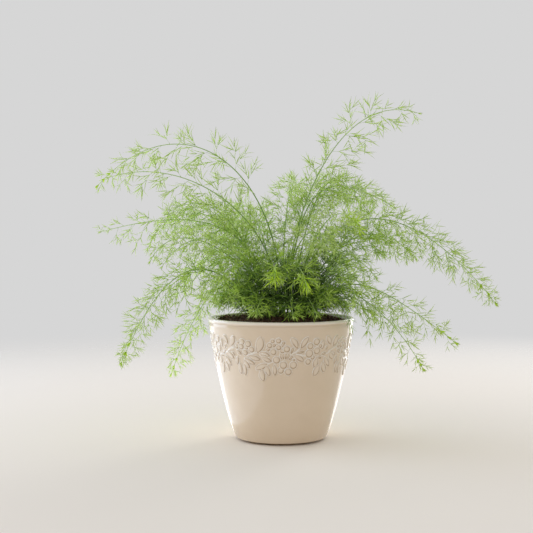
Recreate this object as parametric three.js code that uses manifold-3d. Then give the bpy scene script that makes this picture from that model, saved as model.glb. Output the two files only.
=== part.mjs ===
// A potted asparagus fern: a glazed ceramic pot, potting mix, the plant's crown with its
// storage roots, and its arching fronds. Millimetres, +Z up. The origin is the centre of
// the pot's base, on the surface that it stands on, and -Y is the side it is seen from.
import * as THREE from 'three';
import { mergeVertices } from 'three/addons/utils/BufferGeometryUtils.js';
import Module from 'manifold-3d';

const wasm = await Module();
wasm.setup();

// Driving dimensions of the pot
const RIM_RADIUS = 75;
const POT_HEIGHT = 125.5;
const FOOT_RADIUS = 45.5;
const WALL = 4;
const FLOOR = 6;
const POT_SIDES = 48;

// Driving dimensions of what is in it
const GAP = 0.3;
const SOIL_EDGE_HEIGHT = 120.5;
const SOIL_RISE = 6.5;
const CROWN_RADIUS = 36;
const CROWN_DEPTH = 24;
const CROWN_RISE = 2.2;
const CROWN_FALL = 3.4;
const CROWN_SIDES = 20;
const CROWN_ROOTS = 7;

// Driving dimensions of the foliage
const STEM_FOOT_RADIUS = 1.25;
const STEM_TIP_RADIUS = 0.45;
const STEM_SIDES = 4;
const STEM_STEP = 18;
const TWIG_SIDES = 3;
const TWIG_STEPS = 1;
const TWIG_FOOT_RADIUS = 0.42;
const TWIG_TIP_RADIUS = 0.24;
const TWIG_SPACING = 24;
const TWIG_CLEARANCE = 2.2;
const BARE_FOOT = 40;
const TWIG_TRIALS = 9;
const GOLDEN_ANGLE = 137.508;

// One frond a line. The stem is one smooth curve in an upright plane that turns by
// `toward` degrees from +X and passes through the foot, [x, y] on the crown. The two
// handles and the tip are [distance out from the foot, height above the table].
// `reach` is the length of the longest side twigs.
const FRONDS = [
  { foot: [-2, 6], toward: 170, rise: [-11, 265], crest: [95, 365], tip: [194, 263], reach: 34 },
  { foot: [-7, -4], toward: 186, rise: [-17, 212], crest: [80, 297], tip: [167, 268], reach: 34 },
  { foot: [-11, 2], toward: 176, rise: [7, 233], crest: [86, 238], tip: [176, 213], reach: 36 },
  { foot: [-3, -11], toward: 192, rise: [18, 173], crest: [100, 243], tip: [130, 185], reach: 36 },
  { foot: [-17, -10], toward: 205, rise: [34, 161], crest: [86, 235], tip: [152, 88], reach: 34 },
  { foot: [-25, 13], toward: 150, rise: [6, 168], crest: [52, 196], tip: [108, 59], reach: 30 },
  { foot: [7, 3], toward: 12, rise: [-8, 200], crest: [44, 365], tip: [140, 338], reach: 34 },
  { foot: [3, 11], toward: 30, rise: [20, 243], crest: [30, 293], tip: [136, 242], reach: 36 },
  { foot: [16, -2], toward: -4, rise: [8, 219], crest: [86, 288], tip: [201, 142], reach: 36 },
  { foot: [14, -8], toward: -17, rise: [52, 158], crest: [50, 192], tip: [163, 105], reach: 32 },
  { foot: [25, -15], toward: -34, rise: [13, 190], crest: [92, 146], tip: [131, 84], reach: 30 },
  { foot: [12, -15], toward: -49, rise: [15, 198], crest: [58, 258], tip: [92, 218], reach: 26 },
  { foot: [1, 17], toward: 80, rise: [5, 220], crest: [52, 288], tip: [116, 262], reach: 34 },
  { foot: [11, 14], toward: 45, rise: [20, 245], crest: [60, 314], tip: [115, 234], reach: 28 },
  { foot: [20, 6], toward: 16, rise: [22, 200], crest: [80, 240], tip: [128, 185], reach: 34 },
  { foot: [22, -7], toward: -12, rise: [20, 170], crest: [46, 208], tip: [74, 168], reach: 30 },
  { foot: [13, -21], toward: -30, rise: [18, 165], crest: [50, 195], tip: [85, 150], reach: 28 },
  { foot: [-12, 12], toward: 162, rise: [15, 210], crest: [75, 262], tip: [125, 215], reach: 34 },
  { foot: [-13, -16], toward: 199, rise: [15, 190], crest: [70, 238], tip: [110, 180], reach: 34 },
  { foot: [-7, -20], toward: 219, rise: [15, 170], crest: [45, 205], tip: [85, 150], reach: 28 },
  { foot: [-1, -19], toward: 265, rise: [8, 168], crest: [35, 207], tip: [74, 168], reach: 26 },
  { foot: [6, -22], toward: 284, rise: [8, 160], crest: [30, 203], tip: [70, 162], reach: 26 },
  { foot: [3, -5], toward: 305, rise: [10, 195], crest: [40, 240], tip: [80, 195], reach: 28 },
  { foot: [-19, -19], toward: 236, rise: [10, 144], crest: [28, 166], tip: [50, 148], reach: 20 },
  { foot: [20, -24], toward: 303, rise: [10, 144], crest: [26, 163], tip: [48, 146], reach: 20 },
  { foot: [29, -9], toward: -24, rise: [10, 145], crest: [34, 160], tip: [70, 128], reach: 22 },
  { foot: [16, 20], toward: 62, rise: [15, 200], crest: [72, 228], tip: [138, 168], reach: 32 },
  { foot: [-6, 20], toward: 114, rise: [14, 215], crest: [75, 275], tip: [140, 205], reach: 34 },
  { foot: [-15, 21], toward: 134, rise: [18, 195], crest: [80, 225], tip: [146, 140], reach: 32 },
  { foot: [7, 26], toward: 82, rise: [15, 180], crest: [70, 215], tip: [132, 112], reach: 30 },
  { foot: [26, 13], toward: 58, rise: [16, 175], crest: [66, 204], tip: [108, 134], reach: 28 },
  { foot: [-8, 29], toward: 104, rise: [10, 160], crest: [50, 175], tip: [98, 100], reach: 26 },
  { foot: [-17, 5], toward: 171, rise: [9, 205], crest: [52, 268], tip: [104, 232], reach: 34 },
];

// Short leafy sprays round the edge of the crown, which hide the feet of the stems.
const BASAL_SPRAYS = [
  { foot: [-14, -29], toward: 255, rise: [5, 152], crest: [20, 158], tip: [42, 134], reach: 20 },
  { foot: [6, -33], toward: 276, rise: [5, 148], crest: [22, 154], tip: [44, 133], reach: 20 },
  { foot: [15, -31], toward: 294, rise: [5, 152], crest: [20, 160], tip: [44, 134], reach: 20 },
  { foot: [28, -21], toward: 322, rise: [6, 150], crest: [18, 157], tip: [36, 137], reach: 20 },
  { foot: [34, -3], toward: 352, rise: [5, 150], crest: [16, 157], tip: [33, 138], reach: 20 },
  { foot: [-31, -10], toward: 204, rise: [5, 150], crest: [18, 158], tip: [38, 140], reach: 20 },
  { foot: [-33, 6], toward: 168, rise: [5, 150], crest: [16, 160], tip: [36, 142], reach: 20 },
  { foot: [-23, 27], toward: 128, rise: [5, 152], crest: [16, 160], tip: [36, 138], reach: 20 },
  { foot: [3, 35], toward: 86, rise: [5, 150], crest: [16, 158], tip: [34, 137], reach: 20 },
  { foot: [23, 28], toward: 50, rise: [5, 152], crest: [16, 160], tip: [36, 138], reach: 20 },
  { foot: [33, 10], toward: 14, rise: [5, 150], crest: [16, 158], tip: [34, 140], reach: 20 },
];

// New shoots: bare spears that have just come up, with their twigs still folded.
// [x, y, height above the crown, lean out per mm]
const SPEARS = [
  [-8, -27, 36, 0.05],
  [24, 0, 44, 0.24],
  [-22, -1, 36, 0.3],
];

const COLOURS = {
  glaze: 0xdccdb6,
  soil: 0x33251b,
  crown: 0xb79a6b,
  frond: 0x7ea545,
  frond_young: 0xa9c75a,
};

function radians(degrees) {
  return (degrees * Math.PI) / 180;
}

function dress(name, geometry, colour, roughness) {
  const material = new THREE.MeshStandardMaterial({ color: colour, roughness, metalness: 0 });
  const mesh = new THREE.Mesh(geometry, material);
  mesh.name = name;
  return mesh;
}

// A lathe's profile is [radius, height] from the axis and back to it, turned about +Z.
function turned(profile, sides) {
  const points = profile.map(([radius, height]) => new THREE.Vector2(radius, height));
  return new THREE.LatheGeometry(points, sides).rotateX(Math.PI / 2);
}

function asSolid(geometry) {
  const bare = geometry.clone();
  bare.deleteAttribute('normal');
  bare.deleteAttribute('uv');
  const merged = mergeVertices(bare, 1e-4);
  const vertProperties = new Float32Array(merged.getAttribute('position').array);
  const triVerts = new Uint32Array(merged.index.array);
  return new wasm.Manifold(new wasm.Mesh({ numProp: 3, vertProperties, triVerts }));
}

function asGeometry(solid) {
  const mesh = solid.getMesh();
  const geometry = new THREE.BufferGeometry();
  geometry.setAttribute('position', new THREE.BufferAttribute(mesh.vertProperties, 3));
  geometry.setIndex(new THREE.BufferAttribute(mesh.triVerts, 1));
  geometry.computeVertexNormals();
  return geometry;
}

// The pot's outer side: a foot that tucks in, then a flare with a slight belly.
function outerRadius(height) {
  const up = height / POT_HEIGHT;
  const flare = RIM_RADIUS - FOOT_RADIUS;
  const tuck = 3.5 * Math.exp(-up * 14);
  const belly = 2.2 * Math.sin(Math.PI * up);
  return FOOT_RADIUS + 2.6 + (flare - 2.6) * up + belly - tuck;
}

function innerRadius(height) {
  return outerRadius(height) - WALL;
}

function makePot() {
  const outside = [2, 6, 14, 30, 52, 76, 100, 119];
  const inside = [112, 80, 46, 18];
  const profile = [
    [0, 0],
    [FOOT_RADIUS - 1.6, 0],
    ...outside.map((height) => [outerRadius(height), height]),
    [RIM_RADIUS, POT_HEIGHT - 2.8],
    [RIM_RADIUS, POT_HEIGHT - 1.2],
    [RIM_RADIUS - 1.1, POT_HEIGHT],
    [RIM_RADIUS - 2.7, POT_HEIGHT],
    [RIM_RADIUS - 3.9, POT_HEIGHT - 1.4],
    ...inside.map((height) => [innerRadius(height), height]),
    [innerRadius(FLOOR + 4) - 2, FLOOR + 3],
    [innerRadius(FLOOR + 4) - 6, FLOOR],
    [0, FLOOR],
  ];
  return dress('pot', turned(profile, POT_SIDES), COLOURS.glaze, 0.25);
}

// The crown's top is a low dome. It stands a little above the mix around it.
function crownTop(radius) {
  const dome = SOIL_EDGE_HEIGHT + SOIL_RISE + CROWN_RISE;
  return dome - CROWN_FALL * (radius / CROWN_RADIUS) ** 2;
}

function rootCurve(index) {
  const turn = radians((index * 360) / CROWN_ROOTS);
  const out = (radius, height) => new THREE.Vector3(
    radius * Math.cos(turn),
    radius * Math.sin(turn),
    height,
  );
  const reach = 44 + 4 * (index % 3);
  const bottom = 42 + 16 * (index % 2);
  return new THREE.CubicBezierCurve3(out(20, 104), out(reach, 100), out(reach, 78), out(30, bottom));
}

// A straight rod with closed ends, bent to follow a curve. Its radius is a function of
// how far along it is, from 0 at the foot to 1 at the tip.
function rodAlong(curve, steps, sides, radiusAt) {
  const rod = new THREE.CylinderGeometry(1, 1, 1, sides, steps).translate(0, 0.5, 0);
  const frames = curve.computeFrenetFrames(steps);
  const place = rod.getAttribute('position');
  const point = new THREE.Vector3();
  for (let i = 0; i < place.count; i += 1) {
    const along = place.getY(i);
    const step = Math.round(along * steps);
    const radius = radiusAt(along);
    curve.getPointAt(along, point);
    point.addScaledVector(frames.normals[step], place.getX(i) * radius);
    point.addScaledVector(frames.binormals[step], -place.getZ(i) * radius);
    place.setXYZ(i, point.x, point.y, point.z);
  }
  return rod;
}

// The crown is a thick woody pad, and its storage roots swell on the way down. Grown by a
// gap, and carried on up through the mix, it is the room that the mix leaves for it.
function crownGeometry(grow) {
  const bottom = crownTop(0) - CROWN_DEPTH;
  const lift = grow > 0 ? 20 : 0;
  const profile = [
    [0, bottom - grow],
    [CROWN_RADIUS * 0.55, bottom - grow],
    [CROWN_RADIUS + grow, bottom + CROWN_DEPTH * 0.5],
    [CROWN_RADIUS + grow, crownTop(CROWN_RADIUS) + lift],
    [CROWN_RADIUS * 0.5, crownTop(CROWN_RADIUS * 0.5) + lift],
    [0, crownTop(0) + lift],
  ];
  let solid = asSolid(turned(profile, CROWN_SIDES));
  for (let i = 0; i < CROWN_ROOTS; i += 1) {
    const swell = (along) => 2.6 + 2.4 * Math.sin(Math.PI * along) + grow;
    solid = solid.add(asSolid(rodAlong(rootCurve(i), 5, 5, swell)));
  }
  return solid;
}

function makeCrown() {
  return dress('root_crown', asGeometry(crownGeometry(0)), COLOURS.crown, 0.8);
}

// The mix is a low mound, level with the rim, with room for the crown and its roots.
function makeSoil() {
  const edge = innerRadius(SOIL_EDGE_HEIGHT) - GAP * 2;
  const top = (radius) => SOIL_EDGE_HEIGHT + SOIL_RISE * (1 - (radius / edge) ** 2);
  const profile = [
    [0, FLOOR + GAP],
    [innerRadius(FLOOR + 4) - 7, FLOOR + GAP],
    [innerRadius(FLOOR + 4) - 3, FLOOR + 3.4],
    ...[18, 46, 80, 112].map((height) => [innerRadius(height) - GAP * 2, height]),
    [edge, SOIL_EDGE_HEIGHT],
    [56, top(56)],
    [44, top(44)],
    [0, top(0)],
  ];
  const solid = asSolid(turned(profile, POT_SIDES)).subtract(crownGeometry(GAP));
  return dress('soil', asGeometry(solid), COLOURS.soil, 0.95);
}

function stemCurve({ foot, toward, rise, crest, tip }) {
  const turn = radians(toward);
  const at = ([out, height]) => new THREE.Vector3(
    foot[0] + out * Math.cos(turn),
    foot[1] + out * Math.sin(turn),
    height,
  );
  const footHeight = crownTop(Math.hypot(foot[0], foot[1])) + GAP + 0.5;
  return new THREE.CubicBezierCurve3(at([0, footHeight]), at(rise), at(crest), at(tip));
}

function stemSteps(stem) {
  return Math.ceil(stem.getLength() / STEM_STEP);
}

// The middle of the stem's rod, which is straight from one of its rings to the next.
function insideStem(stem, along) {
  const steps = stemSteps(stem);
  const ring = Math.min(steps - 1, Math.floor(along * steps));
  const from = stem.getPointAt(ring / steps);
  return from.lerp(stem.getPointAt((ring + 1) / steps), along * steps - ring);
}

function stemRadius(along) {
  return STEM_FOOT_RADIUS + (STEM_TIP_RADIUS - STEM_FOOT_RADIUS) * along ** 0.8;
}

// Side twigs are short near the bare foot and the tip, and longest a third of the way up.
function twigLength(along, reach) {
  const swell = Math.sin(Math.PI * Math.min(1, 0.12 + 0.95 * along ** 0.75));
  return Math.max(9, reach * (0.3 + 0.7 * swell));
}

// A twig leaves its stem at a forward slant, turned about it, and sags as it goes out.
function twigCurve(stem, along, length, turn) {
  const start = insideStem(stem, along);
  const forward = stem.getTangentAt(along);
  const side = new THREE.Vector3(0, 0, 1).cross(forward).normalize();
  const over = forward.clone().cross(side);
  const outward = side.multiplyScalar(Math.cos(turn)).addScaledVector(over, Math.sin(turn) * 0.7);
  const way = outward.multiplyScalar(0.86).addScaledVector(forward, 0.6).normalize();
  const middle = start.clone().addScaledVector(way, length * 0.5);
  const end = start.clone().addScaledVector(way, length);
  end.z -= length * 0.22;
  return new THREE.QuadraticBezierCurve3(start, middle, end);
}

// What already stands, as points of wood, so that a new twig finds clear room.
const WOOD_SPACING = 1.5;
const wood = [];

function addWood(curve, owner) {
  const count = Math.ceil(curve.getLength() / WOOD_SPACING);
  for (const point of curve.getSpacedPoints(count)) {
    wood.push({ point, owner });
  }
}

function isClear(curve, owner) {
  return curve.getSpacedPoints(14).every((point) => {
    const radius = Math.hypot(point.x, point.y);
    const lowest = radius < CROWN_RADIUS ? crownTop(0) + 1.5 : POT_HEIGHT + 3;
    if (radius < RIM_RADIUS + 3 && point.z < lowest) {
      return false;
    }
    return wood.every((old) => old.owner === owner || old.point.distanceTo(point) > TWIG_CLEARANCE);
  });
}

// Twigs stand in a spiral round the stem. One that would touch a neighbour turns on.
function growTwigs(stem, owner, reach) {
  const length = stem.getLength();
  const bare = Math.min(0.3, BARE_FOOT / length, (0.3 * length) / 100);
  const count = Math.floor((length * (1 - bare)) / TWIG_SPACING);
  const twigs = [];
  for (let i = 0; i < count; i += 1) {
    const along = bare + ((1 - bare) * (i + 0.5)) / count;
    for (let trial = 0; trial < TWIG_TRIALS; trial += 1) {
      const turn = radians((i + trial) * GOLDEN_ANGLE);
      const twig = twigCurve(stem, along, twigLength(along, reach), turn);
      if (isClear(twig, owner)) {
        twigs.push(twig);
        addWood(twig, owner);
        break;
      }
    }
  }
  return twigs;
}

function makeFrond(frond) {
  const owner = frond.name;
  const stem = stemCurve(frond);
  let solid = asSolid(rodAlong(stem, stemSteps(stem), STEM_SIDES, stemRadius));
  const twigRadius = (along) => TWIG_FOOT_RADIUS + (TWIG_TIP_RADIUS - TWIG_FOOT_RADIUS) * along;
  for (const twig of growTwigs(stem, owner, frond.reach)) {
    solid = solid.add(asSolid(rodAlong(twig, TWIG_STEPS, TWIG_SIDES, twigRadius)));
  }
  return dress(owner, asGeometry(solid), COLOURS.frond, 0.55);
}

function makeSpear([x, y, height, lean], index) {
  const out = (height * lean) / Math.hypot(x, y);
  const foot = crownTop(Math.hypot(x, y)) + GAP + 0.5;
  const curve = new THREE.QuadraticBezierCurve3(
    new THREE.Vector3(x, y, foot),
    new THREE.Vector3(x, y, foot + height * 0.6),
    new THREE.Vector3(x + x * out, y + y * out, foot + height),
  );
  const taper = (along) => 1.5 * (1 - along ** 2) + 0.5;
  return dress(`new_shoot_${index + 1}`, rodAlong(curve, 6, 8, taper), COLOURS.frond_young, 0.5);
}

function numbered(kind, fronds) {
  return fronds.map((frond, index) => {
    const number = String(index + 1).padStart(2, '0');
    return { ...frond, name: `${kind}_${number}` };
  });
}

const foliage = [...numbered('frond', FRONDS), ...numbered('basal_spray', BASAL_SPRAYS)];
const plant = new THREE.Group();
plant.add(makePot(), makeSoil(), makeCrown());
foliage.forEach((frond) => addWood(stemCurve(frond), frond.name));
foliage.forEach((frond) => plant.add(makeFrond(frond)));
SPEARS.forEach((spear, index) => plant.add(makeSpear(spear, index)));

export default plant;
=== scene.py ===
import math

import bpy
import numpy as np
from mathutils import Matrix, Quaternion, Vector


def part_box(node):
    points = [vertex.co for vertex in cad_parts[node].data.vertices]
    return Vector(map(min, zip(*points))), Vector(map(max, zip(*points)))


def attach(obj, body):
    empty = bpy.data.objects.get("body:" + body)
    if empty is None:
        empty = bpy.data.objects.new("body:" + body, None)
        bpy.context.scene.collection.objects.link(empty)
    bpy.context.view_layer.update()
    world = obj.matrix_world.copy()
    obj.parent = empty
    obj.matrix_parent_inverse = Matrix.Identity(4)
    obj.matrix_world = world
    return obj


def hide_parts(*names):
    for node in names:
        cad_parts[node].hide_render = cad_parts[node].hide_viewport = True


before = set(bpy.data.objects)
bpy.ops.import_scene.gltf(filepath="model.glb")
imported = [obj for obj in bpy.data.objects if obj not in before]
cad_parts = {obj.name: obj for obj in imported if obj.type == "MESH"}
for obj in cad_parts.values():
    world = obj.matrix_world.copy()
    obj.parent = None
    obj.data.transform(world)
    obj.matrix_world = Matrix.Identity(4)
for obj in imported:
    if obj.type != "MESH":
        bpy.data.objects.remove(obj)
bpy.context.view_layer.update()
bpy.ops.object.select_all(action="DESELECT")

MM = 0.001


# ---------------------------------------------------------------------------------------
# The pot: slip-cast stoneware with a garland raised in the mould, dipped in a cream glaze.
# Its colour is darker in the hollows, partly pooled glaze and partly painted shade, and
# paler over the raised edges and the lip, partly glaze breaking thin and partly painted
# highlight. Its foot ring is bare clay, painted dark enough to stand for the shadow under it.

# Sizes are in mm, and heights are from the table. The garland is laid out on a pot of the
# middle radius, and close columns and rows of faces carry it.
rim_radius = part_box("pot")[1][0] / MM
pot_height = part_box("pot")[1][2] / MM
base_radius = 48.1
belly_swell = 2.2
foot_tuck = 3.5
tuck_rate = 14
wall = 4.0
lip = 2.0
foot_ring_height = 2.2
floor_top = 6.0
garland_low = 66.0
garland_high = 112.4
garland_rows = 82
garland_repeats = 4
middle_radius = 70.0
repeat_width = 2 * math.pi * middle_radius / garland_repeats
pot_columns = 888


def outer_radius(height):
    """The pot's outside: a straight taper with a slight belly, tucked in at the foot."""
    up = height / pot_height
    tuck = foot_tuck * np.exp(-up * tuck_rate)
    belly = belly_swell * np.sin(np.pi * up)
    return base_radius + (rim_radius - base_radius) * up + belly - tuck


def arc(centre, radius, start, stop, count):
    """Points along an arc from one angle to another, in degrees from the horizontal."""
    turns = np.radians(np.linspace(start, stop, count))
    return [(centre[0] + radius * math.cos(a), centre[1] + radius * math.sin(a)) for a in turns]


# The underside, with its foot ring, and the rounded heel above it
profile = [(0.0, foot_ring_height), (33.0, foot_ring_height), (35.0, 0.4), (36.0, 0.0)]
profile += [(39.6, 0.0), (40.3, 0.7), (40.6, foot_ring_height)]
profile += arc((outer_radius(4.0) - 1.8, 4.0), 1.8, -90, -10, 5)
# The outside, with close rows where the garland is, up to the crease under the lip
profile += [(outer_radius(h), h) for h in (6.0, 10.0, 18.0, 30.0, 46.0)]
profile += [(outer_radius(h), h) for h in np.linspace(garland_low, garland_high, garland_rows)]
profile += [(outer_radius(h), h) for h in (116.5, 120.2)]
crease_height, crease_depth = 121.0, 0.4
profile += [(outer_radius(crease_height) - crease_depth, crease_height)]
# The round lip, then down the inside to the floor
profile += arc((rim_radius - lip, pot_height - lip), lip, -40, 180, 8)
profile += [(outer_radius(h) - wall, h) for h in (119.0, 70.0)]
profile += [(outer_radius(10.0) - wall - 4.0, floor_top + 1.0), (0.0, floor_top)]

pot_mesh = bpy.data.meshes.new("pot_glazed")
pot_mesh.from_pydata(
    [(r * MM, 0.0, z * MM) for r, z in profile],
    [(i, i + 1) for i in range(len(profile) - 1)],
    [],
)
pot = bpy.data.objects.new("pot_glazed", pot_mesh)
bpy.context.collection.objects.link(pot)
bpy.context.view_layer.objects.active = pot
pot.select_set(True)
bpy.ops.object.modifier_add(type="SCREW")
turning = pot.modifiers[-1]
turning.steps = pot_columns
turning.render_steps = pot_columns
turning.use_merge_vertices = True
merge_within = 0.02
turning.merge_threshold = merge_within * MM
bpy.ops.object.modifier_apply(modifier=turning.name)
bpy.ops.object.mode_set(mode="EDIT")
bpy.ops.mesh.select_all(action="SELECT")
bpy.ops.mesh.normals_make_consistent(inside=False)
bpy.ops.object.mode_set(mode="OBJECT")
bpy.ops.object.shade_smooth()
pot.select_set(False)

# One repeat of the garland: across is counted in mm round the pot from the middle of the
# repeat, to the right as one faces it.
# Leaves: base across and height, tip across and height, width, bend to the right
LEAVES = [
    (-54.8, 100.4, -49.2, 111.2, 7.5, 0.3), (-48.0, 97.4, -41.6, 93.0, 4.7, 0.2),
    (-34.8, 92.4, -21.0, 88.6, 6.3, 0.3), (-39.4, 90.0, -27.2, 83.6, 5.5, 0.3),
    (-39.6, 88.4, -33.8, 79.2, 5.7, 0), (-39.2, 84.6, -39.8, 71.8, 6.3, 0),
    (-44.6, 84.8, -45.0, 72.8, 6.3, 0), (-46.6, 91.0, -49.2, 82.2, 5.7, 0),
    (-54.6, 95.4, -50.6, 91.0, 4.3, 0), (-24.0, 95.2, -19.8, 111.4, 9.3, 0.7),
    (-22.5, 96.0, -11.4, 92.4, 5.1, -0.4), (-22.5, 94.2, -12.6, 90.6, 4.1, 0),
    (-21.0, 92.0, -10.0, 86.8, 5.9, 0.3), (-14.0, 84.6, -27.4, 78.8, 6.9, 0),
    (-20.4, 79.4, -19.4, 67.2, 7.7, 0.8), (-15.2, 83.8, -12.6, 72.2, 6.3, 0.6),
    (-7.4, 84.6, -7.0, 73.0, 5.9, 0), (15.1, 99.4, 8.5, 110.6, 6.7, 1.0),
    (18.2, 99.6, 25.4, 111.2, 6.5, -0.2), (11.4, 93.2, 22.2, 87.0, 6.3, -0.4),
    (-0.2, 89.0, -1.4, 95.8, 3.6, 0), (1.8, 88.6, 1.2, 96.4, 3.6, 0),
    (3.8, 88.6, 4.0, 96.2, 3.6, 0), (5.8, 89.0, 6.8, 95.4, 3.6, 0),
    (8.8, 94.2, 10.8, 101.6, 3.9, 0), (6.4, 88.4, 10.8, 92.8, 3.5, 0),
    (13.2, 95.2, 22.2, 96.8, 3.7, 0), (41.2, 98.0, 41.6, 107.4, 5.9, 0),
    (45.6, 97.0, 47.9, 101.8, 3.9, 0), (40.2, 93.0, 46.8, 94.4, 3.9, 0),
    (33.6, 90.6, 41.8, 89.4, 3.7, 0), (36.2, 90.4, 34.2, 80.4, 7.3, 0),
    (44.6, 90.8, 52.8, 80.8, 6.5, 0.3), (43.4, 85.6, 47.4, 74.6, 7.3, 0),
    (39.6, 82.8, 34.6, 71.8, 8.1, 0), (50.4, 94.4, 57.4, 88.0, 6.9, 0),
    (51.8, 101.8, 45.5, 111.2, 6.5, 0.6),
]
# Round petals and berries: across, height, radius. The last to be laid lies on top.
ROUNDS = [
    (0.2, 103.4, 2.2), (0.4, 97.6, 2.8), (-13.4, 99.0, 2.4), (-5.4, 105.2, 2.2),
    (-35.6, 100.2, 2.6), (-46.8, 100.2, 2.4), (31.4, 98.6, 2.4), (31.2, 90.6, 2.8),
    (38.8, 101.6, 2.6), (-39.8, 105.8, 3.5), (-45.2, 103.6, 2.7), (-41.4, 101.0, 3.5),
    (-33.4, 103.9, 3.8), (-30.0, 98.4, 3.5), (-37.3, 95.0, 3.5), (-8.8, 107.2, 2.6),
    (-3.3, 107.7, 3.1), (1.6, 105.5, 2.2), (-11.8, 103.0, 3.2), (-7.4, 103.4, 2.3),
    (-3.1, 101.0, 3.1), (4.6, 99.4, 3.7), (-8.3, 96.6, 3.6), (-5.4, 88.7, 4.1),
    (-1.2, 78.2, 3.7), (1.4, 83.6, 4.3), (11.4, 83.5, 4.3), (6.5, 76.8, 4.0),
    (11.8, 88.6, 1.8), (27.8, 101.9, 3.7), (34.3, 106.0, 4.0), (35.4, 97.0, 4.1),
    (27.2, 94.6, 4.6), (26.5, 86.4, 3.6),
]
# Stalks: from, by way of, to
STALKS = [
    (-36.0, 92.6, -30.0, 95.0, -24.0, 95.6), (-8.0, 87.4, -11.0, 85.8, -14.0, 84.6),
    (8.8, 94.2, 12.0, 95.0, 17.0, 99.6), (14.0, 94.4, 20.0, 93.0, 25.0, 92.0),
    (-60.0, 95.5, -54.0, 99.0, -50.0, 99.5), (42.0, 92.0, 48.0, 94.0, 50.4, 94.4),
]
# Each form's rounded border, the groove that lies inside it, and how far the form stands out
border = 0.65
groove = 1.05
groove_width = 0.48
groove_cut = 0.6
relief_height = 1.0
stalk_height = 1.1
stalk_spread = 0.5
stalk_tone = 0.8
stalk_steps = 30
# A leaf's outline, as powers: how far beyond its middle it is widest, and how blunt it is
leaf_skew = 1.15
leaf_bluntness = 0.52
# A small form's groove lies no deeper in than this share of its half width.
groove_share = 0.55
# How the tone leads into a border, how much the pad inside a groove loses, and which way
# the painted shade in the grooves leans: to the lower right, as if lit from the upper left
rim_lead = 0.2
rim_fade = 0.5
pad_tone_drop = 0.8
lower_right_shade = 0.8
shade_right = 0.6
shade_up = -0.8


def ease(x):
    x = np.clip(x, 0, 1)
    return x * x * (3 - 2 * x)


def from_middle(across, middle):
    """How far round the pot a place is from the nearest copy of `middle`, in mm."""
    return (across - middle + repeat_width / 2) % repeat_width - repeat_width / 2


def stamp(raised, tone, depth, half, right, above):
    """Presses one form into the band: a rounded border, a groove inside it, then a pad.
    The groove is painted darker, partly as pooled glaze and partly as painted shade, most at
    its lower right, as if lit from the upper left."""
    sunk = np.exp(-(((depth - min(groove, groove_share * half)) / groove_width) ** 2))
    # Painted shade, partly pooled glaze: each groove darkens, most toward its lower right.
    toward_shaded_side = (shade_right * right + shade_up * above) / (np.hypot(right, above) + 0.5)
    pool_and_shade = 1.0 + lower_right_shade * toward_shaded_side
    form = relief_height * ease(depth / border) * (1 - groove_cut * sunk)
    # Painted highlight, partly thin glaze: the tone rises toward 1 over each border.
    rim = ease((depth + rim_lead) / rim_fade)
    inside = 1 - pad_tone_drop * ease(depth - groove) - (1.0 + pool_and_shade) * sunk
    raised = np.where(depth > border, form, np.maximum(raised, form))
    tone = np.where(depth > 0, inside, tone + (1 - tone) * rim)
    return raised, tone


def garland(across, height):
    """How far the band stands out, and its tone, from -1 in a groove to 1 on a border. The
    tone is partly the glaze's own pooling and breaking, partly painted shade in the grooves
    and painted highlight on the borders and stalks.
    """
    well_outside = -9
    raised, tone = np.zeros_like(across), np.zeros_like(across)
    for x0, z0, x1, z1, x2, z2 in STALKS:
        for t in np.linspace(0, 1, stalk_steps):
            x = (1 - t) ** 2 * x0 + 2 * t * (1 - t) * x1 + t * t * x2
            z = (1 - t) ** 2 * z0 + 2 * t * (1 - t) * z1 + t * t * z2
            near = np.exp(-(from_middle(across, x) ** 2 + (height - z) ** 2) / stalk_spread)
            raised = np.maximum(raised, stalk_height * near)
            # Painted highlight, partly thin glaze: the stalks are paler.
            tone = np.maximum(tone, stalk_tone * near)
    for x0, z0, x1, z1, width, bend in LEAVES:
        length = math.hypot(x1 - x0, z1 - z0)
        dx, dz = (x1 - x0) / length, (z1 - z0) / length
        right = from_middle(across, (x0 + x1) / 2)
        above = height - (z0 + z1) / 2
        along = 0.5 + (right * dx + above * dz) / length
        side = right * dz - above * dx - bend * np.sin(np.pi * np.clip(along, 0, 1))
        inside = np.clip(along, 1e-4, 1 - 1e-4)
        half = 0.5 * width * np.sin(np.pi * inside**leaf_skew) ** leaf_bluntness
        depth = np.where((along > 0) & (along < 1), half - np.abs(side), well_outside)
        raised, tone = stamp(raised, tone, depth, width / 2, right, above)
    for x0, z0, radius in ROUNDS:
        right, above = from_middle(across, x0), height - z0
        raised, tone = stamp(raised, tone, radius - np.hypot(right, above), radius, right, above)
    return raised, tone


places = np.empty(len(pot_mesh.vertices) * 3)
pot_mesh.vertices.foreach_get("co", places)
places = places.reshape(-1, 3) / MM
radius = np.hypot(places[:, 0], places[:, 1])
height = places[:, 2]
outside = radius > outer_radius(height) - wall / 4
outer = outside & (height > garland_low) & (height < garland_high)
across = np.arctan2(places[outer, 0], -places[outer, 1]) * middle_radius
raised = np.zeros(len(places))
tone = np.zeros(len(places))
raised[outer], tone[outer] = garland(across, height[outer])
stretch = 1 + raised / np.maximum(radius, 1)
places[:, 0] *= stretch
places[:, 1] *= stretch
pot_mesh.vertices.foreach_set("co", (places * MM).ravel())
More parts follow.
